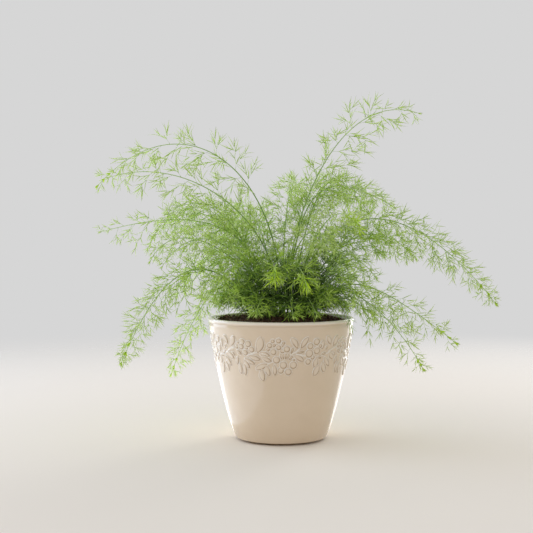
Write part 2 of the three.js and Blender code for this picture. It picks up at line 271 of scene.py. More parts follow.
# The lip is painted paler, partly as glaze breaking thin and partly as a painted highlight,
# and the crease under it darker, partly as pooled glaze and partly as painted shade.
lip_paler, lip_from, lip_fade = 0.6, 122.2, 0.8
crease_deeper = 0.25
tone += lip_paler * np.clip((height - lip_from) / lip_fade, 0, 1)
tone -= crease_deeper * np.exp(-(((height - crease_height) / crease_depth) ** 2))
glaze_tone_and_light = pot_mesh.attributes.new("glaze_tone_and_light", "FLOAT", "POINT")
glaze_tone_and_light.data.foreach_set("value", (0.5 + 0.5 * np.clip(tone, -1, 1)).astype(np.float32))
pot_mesh.update()


def linear(code):
    """An sRGB hex colour as the linear RGBA that a shader socket takes."""
    parts = [int(code[i : i + 2], 16) / 255 for i in (1, 3, 5)]
    return [c / 12.92 if c <= 0.04045 else ((c + 0.055) / 1.055) ** 2.4 for c in parts] + [1.0]


def new_material(name):
    material = bpy.data.materials.new(name)
    material.use_nodes = True
    nodes = material.node_tree.nodes
    return material, nodes, nodes["Principled BSDF"]


def add(nodes, kind, settings=None, **inputs):
    """Adds a node, sets its properties, and fills its inputs: a socket is linked. An input
    goes by its name, or by its number as i0, i1 and so on."""
    node = nodes.new(kind)
    for key, value in (settings or {}).items():
        setattr(node, key, value)
    for key, value in inputs.items():
        numbered = key[0] == "i" and key[1:].isdigit()
        spot = node.inputs[int(key[1:]) if numbered else key.replace("_", " ")]
        if isinstance(value, bpy.types.NodeSocket):
            node.id_data.links.new(value, spot)
        else:
            spot.default_value = value
    return node


def ramp(nodes, factor, stops):
    node = add(nodes, "ShaderNodeValToRGB", None, Fac=factor)
    elements = node.color_ramp.elements
    while len(elements) < len(stops):
        elements.new(0.5)
    for element, (place, code) in zip(elements, stops):
        element.position = place
        element.color = linear(code)
    return node.outputs["Color"]


def blend(nodes, factor, first, second):
    """Mixes two colours: at a factor of 0 it is all the first, at 1 all the second."""
    node = add(nodes, "ShaderNodeMix", {"data_type": "RGBA"}, i0=factor, i6=first, i7=second)
    return node.outputs[2]


# Cream glaze on stoneware: glassy, so it mirrors softly. Over an edge it is painted paler,
# partly as glaze running thin and partly as a painted highlight, and in a hollow it is a
# deeper biscuit colour, partly as pooled glaze and partly as painted shade. The foot ring is
# bare clay, in a dark brown that also stands for the shadow under the pot.
glaze, nodes, shader = new_material("glazed_stoneware")
links = glaze.node_tree.links
where = add(nodes, "ShaderNodeTexCoord").outputs["Object"]
edge = add(nodes, "ShaderNodeAttribute", {"attribute_name": "glaze_tone_and_light"}).outputs["Fac"]
cloud = add(nodes, "ShaderNodeTexNoise", None, Vector=where, Scale=45.0, Detail=4.0, Roughness=0.55)
body_tone = ramp(nodes, cloud.outputs["Fac"], [(0.3, "#dbc7ad"), (0.7, "#dfcbb2")])
# Painted highlight, partly thin glaze: paler where the tone is high, on borders and the lip.
thin = add(nodes, "ShaderNodeMapRange", None, Value=edge, From_Min=0.52, From_Max=0.95, To_Max=0.85)
# Painted shade, partly pooled glaze: darker where the tone is low, in grooves and the crease.
pooled_and_shaded = add(nodes, "ShaderNodeMapRange", None, Value=edge, From_Min=0.48, From_Max=0.1, To_Max=0.7)
paler = blend(nodes, thin.outputs["Result"], body_tone, linear("#f6f2ea"))
toned = blend(nodes, pooled_and_shaded.outputs["Result"], paler, linear("#9a7850"))
# Painted shadow, partly bare clay: the foot below 2.2 mm is dark brown, to stand for the contact shadow
# under the pot.
tall = add(nodes, "ShaderNodeSeparateXYZ", None, Vector=where).outputs["Z"]
bare_foot_and_shadow = add(nodes, "ShaderNodeMapRange", None, Value=tall, From_Min=0.0016, From_Max=0.0022)
coated = blend(nodes, bare_foot_and_shadow.outputs["Result"], linear("#8c7558"), toned)
links.new(coated, shader.inputs["Base Color"])
shader.inputs["Roughness"].default_value = 0.2
shader.inputs["IOR"].default_value = 1.52
shader.inputs["Coat Weight"].default_value = 0.5
shader.inputs["Coat Roughness"].default_value = 0.06
peel = add(nodes, "ShaderNodeTexNoise", None, Vector=where, Scale=260.0, Detail=2.0)
bump = add(nodes, "ShaderNodeBump", None, Strength=0.06, Distance=0.0006, Height=peel.outputs["Fac"])
links.new(bump.outputs["Normal"], shader.inputs["Normal"])
pot_mesh.materials.append(glaze)
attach(pot, "root")
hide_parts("pot")


# ---------------------------------------------------------------------------------------
# The potting mix: peat and composted bark, dark and damp, heaped in a low crumbly mound
# that is level with the rim. The loose crumbs and bark chips lie on it as they fell.
soil_edge = 120.5
soil_rise = 6.5
soil_gap = 0.6
soil_radius = outer_radius(soil_edge) - wall - soil_gap
soil_columns = 160
soil_ring = 1.25
soil_smallest_ring = 0.8
soil_last_ring = 1.4
rim_tolerance = 0.05
# The crumbly surface: height of the lumps, their size and the seed they are drawn from.
# It is calmer within a few mm of the pot.
CRUMBLE = [(0.8, 11, 1), (0.55, 4.2, 2), (0.3, 2.1, 3)]
calm_within = 4
calm_least = 0.25
# Its sides, from the top down: height and gap to the pot
SOIL_SIDES = [(112.0, soil_gap), (70.0, soil_gap), (30.0, 1.6), (12.0, 3.4)]


def soil_top(radius):
    """The height of the mound at a distance from the pot's axis."""
    return soil_edge + soil_rise * (1 - (radius / soil_radius) ** 2)


def lumps(x, y, size, seed):
    """Smooth random lumps of about `size` mm, mostly from -1 to 1."""
    waves = 14
    rng = np.random.default_rng(seed)
    total = np.zeros_like(x)
    for _ in range(waves):
        a = rng.uniform(0, 2 * np.pi)
        wave = 2 * np.pi / (size * rng.uniform(0.7, 1.6))
        total += np.sin((x * np.cos(a) + y * np.sin(a)) * wave + rng.uniform(0, 6.28))
    return total / 5


bpy.ops.mesh.primitive_circle_add(vertices=soil_columns, radius=soil_radius * MM, location=(0, 0, 0))
soil = bpy.context.object
soil.name = "potting_mix"
bpy.ops.object.mode_set(mode="EDIT")
bpy.ops.mesh.select_all(action="SELECT")
ring = soil_radius
while ring > soil_last_ring:
    smaller = max(ring - soil_ring, soil_smallest_ring)
    bpy.ops.mesh.extrude_region_move()
    bpy.ops.transform.resize(value=(smaller / ring, smaller / ring, 1))
    ring = smaller
bpy.ops.mesh.edge_face_add()
bpy.ops.object.mode_set(mode="OBJECT")
mesh = soil.data
places = np.empty(len(mesh.vertices) * 3)
mesh.vertices.foreach_get("co", places)
places = places.reshape(-1, 3) / MM
x, y = places[:, 0], places[:, 1]
radius = np.hypot(x, y)
crumble = sum(high * lumps(x, y, size, seed) for high, size, seed in CRUMBLE)
calm = np.clip((soil_radius - radius) / calm_within, calm_least, 1)
places[:, 2] = soil_top(radius) + crumble * calm
mesh.vertices.foreach_set("co", (places * MM).ravel())
rim_verts = radius > soil_radius - rim_tolerance
for vertex, on_rim in zip(mesh.vertices, rim_verts):
    vertex.select = bool(on_rim)
for mesh_edge in mesh.edges:
    first, last = mesh_edge.vertices
    mesh_edge.select = bool(rim_verts[first] and rim_verts[last])
for face in mesh.polygons:
    face.select = False
bpy.ops.object.mode_set(mode="EDIT")
for tall, gap in SOIL_SIDES:
    level = outer_radius(tall) - wall - gap
    bpy.ops.mesh.extrude_region_move()
    bpy.ops.transform.resize(value=(level / soil_radius, level / soil_radius, 1))
    bpy.ops.object.mode_set(mode="OBJECT")
    for vertex in mesh.vertices:
        if vertex.select:
            angle = math.atan2(vertex.co.y, vertex.co.x)
            vertex.co = Vector((level * math.cos(angle), level * math.sin(angle), tall)) * MM
    bpy.ops.object.mode_set(mode="EDIT")
bpy.ops.mesh.edge_face_add()
bpy.ops.mesh.select_all(action="SELECT")
bpy.ops.mesh.normals_make_consistent(inside=False)
bpy.ops.object.mode_set(mode="OBJECT")
bpy.ops.object.shade_smooth()
soil.select_set(False)

# Damp peat and bark: rough and nearly black in the gaps, with brown fibres.
mix, nodes, shader = new_material("peat_and_bark")
links = mix.node_tree.links
where = add(nodes, "ShaderNodeTexCoord").outputs["Object"]
grit = add(nodes, "ShaderNodeTexNoise", None, Vector=where, Scale=420.0, Detail=8.0, Roughness=0.7)
soil_tone = ramp(
    nodes, grit.outputs["Fac"],
    [(0.28, "#22160e"), (0.46, "#4a3323"), (0.62, "#775640"), (0.78, "#a88468")],
)
links.new(soil_tone, shader.inputs["Base Color"])
shader.inputs["Roughness"].default_value = 0.92
bump = add(nodes, "ShaderNodeBump", None, Strength=0.8, Distance=0.0012, Height=grit.outputs["Fac"])
links.new(bump.outputs["Normal"], shader.inputs["Normal"])
mesh.materials.append(mix)
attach(soil, "root")
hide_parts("soil")


def build(name, verts, faces, material, smooth=True):
    made = bpy.data.meshes.new(name)
    made.from_pydata(verts, [], faces)
    made.materials.append(material)
    made.polygons.foreach_set("use_smooth", [smooth] * len(made.polygons))
    made.update()
    piece = bpy.data.objects.new(name, made)
    bpy.context.collection.objects.link(piece)
    return piece


# Loose crumbs and chips: small broken lumps, each pressed a little into the surface. Each
# size has a share of the crumbs, and a crumb is longer than it is wide or thick.
crumb_count = 1150
CRUMB_SIZES = [0.7, 1.1, 1.7, 2.6]
CRUMB_SHARES = [0.4, 0.35, 0.18, 0.07]
CRUMB_SHAPE = np.array([1.5, 0.9, 0.55])
crumb_from_pot = 1.8
crumb_lift = 0.3
rng = np.random.default_rng(7)
bpy.ops.mesh.primitive_ico_sphere_add(subdivisions=1, radius=1)
lump = bpy.context.object
lump_verts = np.array([vertex.co for vertex in lump.data.vertices])
lump_faces = [tuple(face.vertices) for face in lump.data.polygons]
bpy.data.objects.remove(lump)
verts, faces = [], []
for i in range(crumb_count):
    out = soil_radius * math.sqrt(rng.uniform(0.02, 0.95))
    turn = rng.uniform(0, 2 * math.pi)
    size = rng.choice(CRUMB_SIZES, p=CRUMB_SHARES)
    out = min(out, soil_radius - crumb_from_pot * size)
    shape = lump_verts * rng.uniform(0.6, 1.35, (len(lump_verts), 1)) * size
    shape = shape * CRUMB_SHAPE
    spin = Quaternion(rng.normal(size=4).tolist()).normalized().to_matrix()
    centre = [out * math.cos(turn), out * math.sin(turn), soil_top(out) + crumb_lift * size + 0.2]
    first_vert = len(verts)
    verts += [tuple((v * MM).tolist()) for v in shape @ np.array(spin).T + centre]
    faces += [tuple(first_vert + k for k in face) for face in lump_faces]
crumbs = build("soil_crumbs", verts, faces, mix, smooth=False)
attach(crumbs, "root")


# ---------------------------------------------------------------------------------------
# The crown: the plant's woody pad, tan and scaly, just proud of the mix. It has many
# knuckles, the scars of old shoots, and its storage roots go down into the pot.

# It stands this far out of the mix, and its top falls this far to its edge, where the
# shoulder's power rounds it over to a waist that is in the mix.
crown_radius = 36.0
crown_rise = 2.2
crown_dome = 3.4
crown_waist = 112
crown_underside = 8
shoulder = 0.35
edge_drop = 1.6
# Its knuckles: height, size and seed of two kinds of lumps, and how far all of them stand out
KNUCKLES = [(0.7, 9, 11), (0.35, 3.6, 12)]
knuckle_height = 0.8


def crown_top(radius):
    """The height of the crown at a distance from the pot's axis, without its knuckles."""
    return soil_edge + soil_rise + crown_rise - crown_dome * (radius / crown_radius) ** 2


bpy.ops.mesh.primitive_uv_sphere_add(segments=72, ring_count=40, radius=1, location=(0, 0, 0))
crown = bpy.context.object
crown.name = "woody_crown"
mesh = crown.data
places = np.array([vertex.co for vertex in mesh.vertices])
x, y, z = places[:, 0] * crown_radius, places[:, 1] * crown_radius, places[:, 2]
knuckles = sum(high * lumps(x, y, size, seed) for high, size, seed in KNUCKLES)
radius = np.hypot(x, y)
top = crown_top(radius) + knuckle_height * knuckles - edge_drop * (radius / crown_radius) ** 6
over_waist = crown_waist + (top - crown_waist) * np.abs(z) ** shoulder
under_waist = crown_waist + crown_underside * z
places = np.stack([x, y, np.where(z >= 0, over_waist, under_waist)], 1)
mesh.vertices.foreach_set("co", (places * MM).ravel())
mesh.update()
bpy.ops.object.shade_smooth()
crown.select_set(False)

bark, nodes, shader = new_material("woody_crown_bark")
links = bark.node_tree.links
where = add(nodes, "ShaderNodeTexCoord").outputs["Object"]
scale = add(nodes, "ShaderNodeTexNoise", None, Vector=where, Scale=300.0, Detail=6.0)
bark_tone = ramp(nodes, scale.outputs["Fac"], [(0.3, "#20160e"), (0.55, "#4a3a22"), (0.75, "#7d683f")])
links.new(bark_tone, shader.inputs["Base Color"])
shader.inputs["Roughness"].default_value = 0.85
bump = add(nodes, "ShaderNodeBump", None, Strength=0.6, Distance=0.001, Height=scale.outputs["Fac"])
links.new(bump.outputs["Normal"], shader.inputs["Normal"])
mesh.materials.append(bark)
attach(crown, "root")
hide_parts("root_crown")


def on_curve(points, t):
    """The place at a share t along the curve that four handles make."""
    a, b, c, d = points
    s = 1 - t
    return a * s**3 + b * (3 * s * s * t) + c * (3 * s * t * t) + d * t**3


# The storage roots: fleshy and tan, they swell on their way down through the mix. Each one
# follows a curve whose handles are given as distance out and height.
storage_roots = 7
root_steps = 19
root_end_radius = 2.4
root_swell = 2.4
for i in range(storage_roots):
    turn = 2 * math.pi * i / storage_roots
    reach = 44 + 4 * (i % 3)
    handles = [(20, 108), (reach, 100), (reach, 78), (30, 42 + 16 * (i % 2))]
    handles = [Vector((out * math.cos(turn), out * math.sin(turn), z)) for out, z in handles]
    curve = bpy.data.curves.new(f"storage_root_{i + 1}", "CURVE")
    curve.dimensions = "3D"
    curve.bevel_depth = 1.0 * MM
    curve.bevel_resolution = 3
    curve.use_fill_caps = True
    spline = curve.splines.new("POLY")
    spline.points.add(root_steps)
    for k, point in enumerate(spline.points):
        t = k / root_steps
        point.co = (*(on_curve(handles, t) * MM), 1)
        point.radius = root_end_radius + root_swell * math.sin(math.pi * t)
    root = bpy.data.objects.new(f"storage_root_{i + 1}", curve)
    bpy.context.collection.objects.link(root)
    bpy.context.view_layer.objects.active = root
    root.select_set(True)
    bpy.ops.object.convert(target="MESH")
    root = bpy.context.object
    root.data.materials.clear()
    root.data.materials.append(bark)
    root.select_set(False)
    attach(root, "root")


# ---------------------------------------------------------------------------------------
# The fronds: each is a wiry green stem that rises from the crown and arches over. Thin
# zig-zag twigs stand out round it, and at each of their knots is a fan of soft needles.

# A frond is its foot (x, y) on the crown, the way it heads in degrees from +X, then two
# handles and its tip as (distance out from the foot, height above the table), the length
# of its longest twigs, the share of the stem that is bare, the mm between its twigs, and
# how pale it is, from 0 for old and shaded to 1 for new.
FRONDS = [
    ((-2, 6), 170, (-11, 265), (95, 365), (194, 263), 34, 0.40, 9.6, 0.70),
    ((-7, -4), 186, (-17, 212), (80, 297), (167, 268), 32, 0.34, 9.0, 0.64),
    ((-11, 2), 176, (7, 233), (86, 238), (176, 213), 36, 0.18, 6.2, 0.80),
    ((-3, -11), 192, (18, 173), (100, 243), (130, 185), 31, 0.14, 4.8, 0.74),
    ((-17, -10), 205, (34, 161), (86, 235), (152, 88), 30, 0.10, 3.0, 0.50),
    ((-25, 13), 150, (6, 168), (52, 196), (108, 59), 28, 0.14, 4.3, 0.70),
    ((7, 3), 12, (-8, 200), (44, 365), (140, 338), 34, 0.42, 8.4, 0.70),
    ((3, 11), 30, (20, 243), (30, 293), (136, 242), 30, 0.34, 2.0, 0.60),
    ((16, -2), -4, (8, 219), (86, 288), (201, 142), 31, 0.24, 3.0, 0.47),
    ((14, -8), -17, (52, 158), (50, 192), (163, 105), 32, 0.12, 5.6, 0.56),
    ((25, -15), -34, (13, 190), (92, 146), (131, 84), 30, 0.12, 5.0, 0.48),
    ((12, -15), -49, (15, 198), (58, 258), (92, 218), 19, 0.44, 4.6, 0.72),
    ((1, 17), 80, (5, 220), (52, 288), (116, 262), 30, 0.22, 4.2, 0.79),
    ((11, 14), 45, (20, 245), (60, 314), (115, 234), 26, 0.36, 4.8, 0.58),
    ((20, 6), 16, (22, 200), (80, 240), (128, 185), 36, 0.14, 2.2, 0.40),
    ((22, -7), -12, (20, 170), (46, 208), (74, 168), 32, 0.10, 5.2, 0.42),
    ((13, -21), -30, (18, 165), (50, 195), (85, 150), 27, 0.08, 5.2, 0.46),
    ((-12, 12), 162, (15, 210), (75, 262), (125, 215), 36, 0.16, 3.3, 0.63),
    ((-13, -16), 199, (15, 190), (70, 238), (110, 180), 25, 0.12, 5.2, 0.64),
    ((-7, -20), 219, (15, 170), (45, 205), (85, 150), 30, 0.08, 3.2, 0.48),
    ((-1, -19), 265, (8, 168), (35, 207), (74, 168), 28, 0.06, 3.2, 0.50),
    ((6, -22), 284, (8, 160), (30, 203), (70, 162), 28, 0.06, 3.2, 0.50),
    ((3, -5), 305, (10, 195), (40, 240), (80, 195), 30, 0.16, 4.2, 0.77),
    ((-19, -19), 236, (10, 144), (28, 166), (50, 148), 18, 0.05, 2.5, 0.56),
    ((20, -24), 303, (10, 144), (26, 163), (48, 146), 18, 0.05, 2.5, 0.54),
    ((29, -9), -24, (10, 145), (34, 160), (70, 128), 22, 0.05, 4.6, 0.50),
    ((16, 20), 62, (15, 200), (72, 228), (138, 168), 32, 0.34, 4.8, 0.60),
    ((-6, 20), 114, (14, 215), (75, 275), (140, 205), 36, 0.16, 2.8, 0.60),
    ((-15, 21), 134, (18, 195), (80, 225), (146, 140), 20, 0.12, 5.0, 0.58),
    ((7, 26), 82, (15, 180), (70, 215), (132, 112), 34, 0.10, 3.0, 0.55),
    ((26, 13), 58, (16, 175), (66, 204), (108, 134), 26, 0.10, 5.2, 0.52),
    ((-8, 29), 104, (10, 160), (50, 175), (98, 100), 32, 0.08, 3.0, 0.55),
    ((-17, 5), 171, (9, 205), (52, 268), (104, 232), 32, 0.14, 3.0, 0.63),
]
# Short leafy sprays, in the same terms, that crowd the edge of the crown.
BASAL_SPRAYS = [
    ((-14, -29), 255, (5, 152), (20, 158), (42, 134), 18, 0.04, 2.2, 0.58),
    ((6, -33), 276, (5, 148), (22, 154), (44, 133), 18, 0.04, 2.2, 0.50),
    ((15, -31), 294, (5, 152), (20, 160), (44, 134), 18, 0.04, 2.2, 0.40),
    ((28, -21), 322, (6, 150), (18, 157), (36, 137), 20, 0.04, 3.0, 0.50),
    ((34, -3), 352, (5, 150), (16, 157), (33, 138), 15, 0.04, 3.0, 0.45),
    ((-31, -10), 204, (5, 150), (18, 158), (38, 140), 14, 0.04, 2.2, 0.50),
    ((-33, 6), 168, (5, 150), (16, 160), (36, 142), 16, 0.04, 2.2, 0.55),
    ((-23, 27), 128, (5, 152), (16, 160), (36, 138), 30, 0.04, 2.2, 0.40),
    ((3, 35), 86, (5, 150), (16, 158), (34, 137), 30, 0.04, 2.2, 0.40),
    ((23, 28), 50, (5, 152), (16, 160), (36, 138), 30, 0.04, 2.2, 0.40),
    ((33, 10), 14, (5, 150), (16, 158), (34, 140), 16, 0.04, 3.2, 0.50),
]
# The pieces that end in a bright tuft of this year's long soft needles, and how many fans
# of them there are.
FRESH = {"frond_12": 6, "frond_21": 4, "frond_22": 4}
# The fronds that still grow at the tip, and end in a bright bud.
BUDDED = {"frond_01", "frond_05", "frond_06", "frond_09", "frond_10", "frond_11"}
# The tall open fronds, whose needles are longer and lie closer along the twigs.
OPEN = {"frond_01", "frond_02", "frond_07"}
open_size = 1.3
# Each twig turns by the golden angle from the last. Lengths are in mm, angles in radians,
# and ages run from 0 for old to 1 for new.
golden_angle = math.radians(137.508)
knot_spacing = 6.2
zig_zag = 0.2
twig_sag = 0.045
side_twig_angle = 0.85
side_twig_longest = 15
needle_length = 12.4
needle_width = 0.78
needle_slant = 0.8
oldest, newest_mature, fresh = 0.03, 0.88, 0.99
age_scatter = 0.08
turn_scatter = 0.2
tilt_scatter = 0.15
# A needle's blade: where its middle is along it, how much it curves, and how wide its foot
# and how deep its keel are as shares of its width
blade_middle = 0.45
blade_curve = 0.035
blade_foot = 0.55
blade_keel = 0.45
# A bud: its short broad leaves
bud_leaves = 6
bud_length = 7
bud_width = 1.5
# The dark heart of the plant, painted darker partly as older growth and partly as painted
# shade where the foliage shades itself: its middle, how depth and height count beside width,
# how far it reaches and how much older and shaded it is, then how much newer the growth at
# the outside is
heart = Vector((6, 0, 148))
heart_depth = 0.65
heart_height = 1.25
heart_reach = 56
heart_older_and_shaded = 0.65
outside_reach = 150
outside_newer = 0.24
# How far the foliage stays above the rim, outside it, inside it and above the mix
clear_above = 0.8
clear_outside = 1.4
clear_inside = 5.5
clear_of_mix = 1.2
up = Vector((0, 0, 1))

# Living green tissue, matt with a soft waxy sheen. Its map says what a face is: across is
# age, from old to new, lowered near the heart as painted shade. Upward, 0 to 0.5 runs along
# a stem, and 0.5 to 1 along a needle.
green, nodes, shader = new_material("asparagus_foliage")
links = green.node_tree.links
tissue = add(nodes, "ShaderNodeUVMap", {"uv_map": "OFBake"}).outputs["UV"]
split = add(nodes, "ShaderNodeSeparateXYZ", None, Vector=tissue)
age, part = split.outputs["X"], split.outputs["Y"]
needle_tone = ramp(
    nodes, age,
    [
        (0.03, "#20370b"), (0.22, "#4e721b"), (0.44, "#90b442"), (0.6, "#b0d44a"), (0.76, "#bada5f"),
        (0.87, "#cae482"), (0.95, "#cdec5c"), (0.99, "#cbf03a"),
    ],
)
stem_tone = ramp(nodes, part, [(0.02, "#3e5622"), (0.2, "#80a34e"), (0.48, "#bcd68c")])
is_needle = add(nodes, "ShaderNodeMath", {"operation": "GREATER_THAN"}, i0=part, i1=0.5).outputs[0]
links.new(blend(nodes, is_needle, stem_tone, needle_tone), shader.inputs["Base Color"])
shader.inputs["Roughness"].default_value = 0.5
shader.inputs["Specular IOR Level"].default_value = 0.25


def blocked(place):
    """Whether a place is in or too near the pot's wall or the potting mix."""
    radius = math.hypot(place.x, place.y)
    if radius > rim_radius + clear_outside or place.z > pot_height + clear_above:
        return False
    return radius > rim_radius - clear_inside or place.z < soil_top(radius) + clear_of_mix


class Greenery:
    """The rods and needles of one frond, gathered and then made into one mesh."""

    # How wide one side of a rod is on the map, and the radius of its end there
    column = 0.006
    cap = 0.004

    def __init__(self):
        self.verts = []
        self.faces = []
        self.maps = []
        self.needles = []

    def rod(self, path, widths, sides, age, part):
        """A tapered rod with closed ends along a path. Its part is its stretch of the map."""
        start = len(self.verts)
        side = None
        for i, point in enumerate(path):
            ahead = path[min(i + 1, len(path) - 1)] - path[max(i - 1, 0)]
            ahead.normalize()
            side = side or ahead.orthogonal()
            side = side - ahead * ahead.dot(side)
            side.normalize()
            over = ahead.cross(side)
            for k in range(sides):
                turn = 2 * math.pi * k / sides
                lean = side * math.cos(turn) + over * math.sin(turn)
                self.verts.append(point + lean * widths[i] / 2)
        for i in range(len(path) - 1):
            low = part[0] + (part[1] - part[0]) * i / (len(path) - 1)
            high = part[0] + (part[1] - part[0]) * (i + 1) / (len(path) - 1)
            for k in range(sides):
                n = (k + 1) % sides
                ring = start + i * sides
                self.faces.append((ring + k, ring + n, ring + sides + n, ring + sides + k))
                left, right = age + self.column * k, age + self.column * (k + 1)
                self.maps += [(left, low), (right, low), (right, high), (left, high)]
        last = start + (len(path) - 1) * sides
        self.faces.append(tuple(start + k for k in reversed(range(sides))))
        self.faces.append(tuple(last + k for k in range(sides)))
        for _ in range(2):
            for k in range(sides):
                turn = 2 * math.pi * k / sides
                across, along = self.cap * math.cos(turn), self.cap * math.sin(turn)
                self.maps.append((age + across, part[1] + along))

    def needle(self, base, way, flat, length, width, age):
        """A needle from its base along its way, with its flat side across."""
        self.needles.append((*base, *way, *flat, length, width, age))

    def mesh(self, name, material):
        """Joins the rods with the needles, which are thin keeled blades of ten faces."""
        rows = np.array(self.needles)
        base, way, flat = rows[:, 0:3], rows[:, 3:6], rows[:, 6:9]
        length, width, age = rows[:, 9:10], rows[:, 10:11], rows[:, 11]
        way = way / np.linalg.norm(way, axis=1, keepdims=True)
        flat = flat - way * (flat * way).sum(1, keepdims=True)
        flat = flat / np.linalg.norm(flat, axis=1, keepdims=True)
        keel = np.cross(way, flat)
        middle = base + way * length * blade_middle + keel * length * blade_curve
        tip = base + way * length

        def ring(at, wide):
            return [at - flat * wide / 2, at + flat * wide / 2, at + keel * wide * blade_keel]

        # A blade's corners are three at its foot, three at its middle and one at its tip.
        corners = ring(base, width * blade_foot) + ring(middle, width) + [tip]
        blades = np.stack(corners, 1).reshape(-1, 3)
        pattern = np.array([
            (0, 2, 1), (0, 1, 4), (0, 4, 3), (1, 2, 5), (1, 5, 4), (2, 0, 3), (2, 3, 5),
            (3, 4, 6), (4, 5, 6), (5, 3, 6),
        ])
        starts = len(self.verts) + np.arange(len(rows)) * len(corners)
        blade_faces = (starts[:, None, None] + pattern[None]).reshape(-1, 3)
        across = np.array([0, 0.008, 0.004, 0, 0.008, 0.004, 0.004])
        upward = np.array([0.55, 0.55, 0.58, 0.75, 0.75, 0.78, 0.99])
        blade_maps = np.empty((len(rows), len(pattern), 3, 2))
        blade_maps[..., 0] = age[:, None, None] + across[pattern][None]
        blade_maps[..., 1] = upward[pattern][None]
        verts = np.concatenate([np.array([tuple(v) for v in self.verts]), blades]) * MM
        piece = build(name, verts.tolist(), self.faces + blade_faces.tolist(), material)
        layer = piece.data.uv_layers.new(name="OFBake")
        flat_maps = np.concatenate([np.array(self.maps), blade_maps.reshape(-1, 2)])
        layer.data.foreach_set("uv", np.clip(flat_maps, 0.001, 0.999).astype(np.float32).ravel())
        return piece


def fan(plant, place, way, count, spread, slant, size, age, rng):
    """Needles that leave one knot together, spread round the twig and slanting off it."""
    side = way.orthogonal().normalized()
    over = way.cross(side)
    first = rng.uniform(0, 2 * math.pi)
    for k in range(count):
        turn = first + spread * ((k + 0.5) / count - 0.5) + rng.normal(0, turn_scatter)
        tilt = slant + rng.normal(0, tilt_scatter)
        lean = side * math.cos(turn) + over * math.sin(turn)
        blade = way * math.cos(tilt) + lean * math.sin(tilt)
        length = needle_length * size * rng.uniform(0.75, 1.05)
        if blocked(place + blade * length):
            continue
        shade = fresh
        if age != fresh:
            shade = min(newest_mature, max(oldest, age + rng.normal(0, age_scatter)))
        width = needle_width * (0.6 + 0.4 * size)
        plant.needle(place, blade, way.cross(blade), length, width, shade)


def aged_and_shaded(place, age):
    """Growth is painted darker the nearer it is to the heart of the plant, partly as older
    growth and partly as painted shade.
    """
    away = place - heart
    far = math.hypot(away.x, heart_depth * away.y, heart_height * away.z)
    older_and_shaded = heart_older_and_shaded * math.exp(-((far / heart_reach) ** 2))
    return age - older_and_shaded + outside_newer * min(1, far / outside_reach)


def grow_twig(plant, start, way, length, level, size, age, rng):
    """A zig-zag twig with a fan at each knot. One of level 1 has shorter twigs on it."""
    knots = max(2, round(length / knot_spacing))
    step = length / knots
    path = [start.copy()]
    heading = way.normalized()
    hinge = heading.cross(up)
    hinge = hinge.normalized() if hinge.length > 0.1 else heading.orthogonal().normalized()
    hinge.rotate(Quaternion(heading, rng.uniform(0, math.pi)))
    for k in range(knots):
        bent = heading.copy()
        bent.rotate(Quaternion(hinge, zig_zag if k % 2 else -zig_zag))
        place = path[-1] + bent * step * rng.uniform(0.85, 1.15)
        if blocked(place):
            break
        path.append(place)
        heading = (heading + Vector((0, 0, -twig_sag))).normalized()
        out = (k + 1) / knots
        newer = age + 0.12 * out
        if k < knots - 1:
            count = int(rng.integers(2, 5))
            slant = min(needle_slant, needle_slant / size**1.5)
            shrunk = size * (1 - 0.15 * out)
            tone_here = aged_and_shaded(place, newer)
            fan(plant, place, bent, count, spread=4.4, slant=slant, size=shrunk, age=tone_here, rng=rng)
        if level == 1 and k < knots - 1 and k % 2 == 0:
            side_way = heading.copy()
            side_way.rotate(Quaternion(hinge, side_twig_angle if k % 4 else -side_twig_angle))
            reach = min(side_twig_longest, max(6, (knots - k) * step * 0.5))
            grow_twig(plant, place, side_way, reach, 2, size, newer, rng)
    if len(path) > 1:
        tip_tone = aged_and_shaded(path[-1], age + 0.16)
        tip_size = 0.9 * size
        fan(plant, path[-1], heading, count=3, spread=6.0, slant=0.5, size=tip_size, age=tip_tone, rng=rng)
        thin = 0.3 if level == 1 else 0.22
        widths = [thin * (1 - 0.5 * i / len(path)) for i in range(len(path))]
        plant.rod(path, widths, sides=3, age=min(0.9, age), part=(0.34, 0.48))


def tuft(plant, path, fans, rng):
    """Long soft young needles, bright, that crowd the last stretch of a stem."""
    for back in range(0, 3 * fans, 3):
        forward = (path[-1 - back] - path[-3 - back]).normalized()
        forward = (forward + Vector(rng.normal(0, 0.35, 3).tolist())).normalized()
        fan(plant, path[-1 - back], forward, count=5, spread=6.2, slant=0.7, size=1.3, age=fresh, rng=rng)


def bud(plant, path, rng):
    """The growing point: short broad young leaves, bright and folded forward on the tip."""
    for back in (0, 2, 4):
        forward = (path[-1 - back] - path[-3 - back]).normalized()
        side = forward.orthogonal().normalized()
        for _ in range(bud_leaves):
            turn = rng.uniform(0, 2 * math.pi)
            lean = side * math.cos(turn) + forward.cross(side) * math.sin(turn)
            blade = (forward + lean * rng.uniform(0.2, 0.5 if back == 0 else 0.9)).normalized()
            length = bud_length * rng.uniform(0.7, 1)
            plant.needle(path[-1 - back], blade, forward.cross(blade), length, bud_width, fresh)


PIECES = [(f"frond_{i + 1:02d}", row) for i, row in enumerate(FRONDS)]
PIECES += [(f"basal_spray_{i + 1:02d}", row) for i, row in enumerate(BASAL_SPRAYS)]
